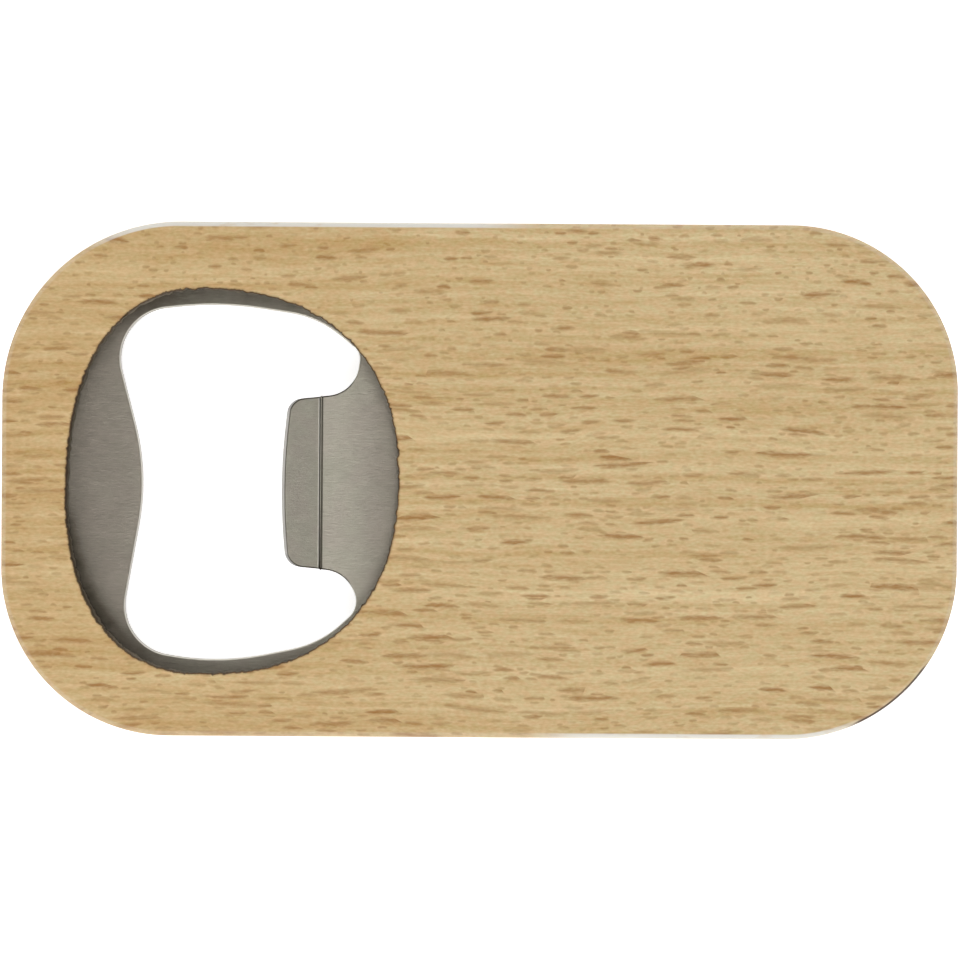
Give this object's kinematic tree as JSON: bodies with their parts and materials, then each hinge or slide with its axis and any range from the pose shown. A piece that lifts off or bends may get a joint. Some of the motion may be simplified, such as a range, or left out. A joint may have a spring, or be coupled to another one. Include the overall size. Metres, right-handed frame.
{
  "type": "bottle opener",
  "caption": "Pocket bottle opener: rounded beech board with an egg-shaped window near one end, holding a brushed stainless opener plate between its layers.",
  "frame": {"origin": "middle of the underside, at the centre of the bounding box's bottom face", "axes": "+X along the board's length from the opener end to the plain end, +Y across the board, +Z out of the front face"},
  "size_m": [0.1, 0.0538, 0.008],
  "materials": {
    "beech_panel": "sanded natural beech, laser-toasted window edge",
    "beech_core": "sanded natural beech edge",
    "brushed_stainless": "brushed along the board's length",
    "glue_line": "cured adhesive film"
  },
  "bodies": {
    "root": {"front_panel": "beech_panel", "core_frame": "beech_core", "back_panel": "beech_panel", "opener_plate": "brushed_stainless", "front_glue_film": "glue_line", "back_glue_film": "glue_line"}
  },
  "joints": []
}
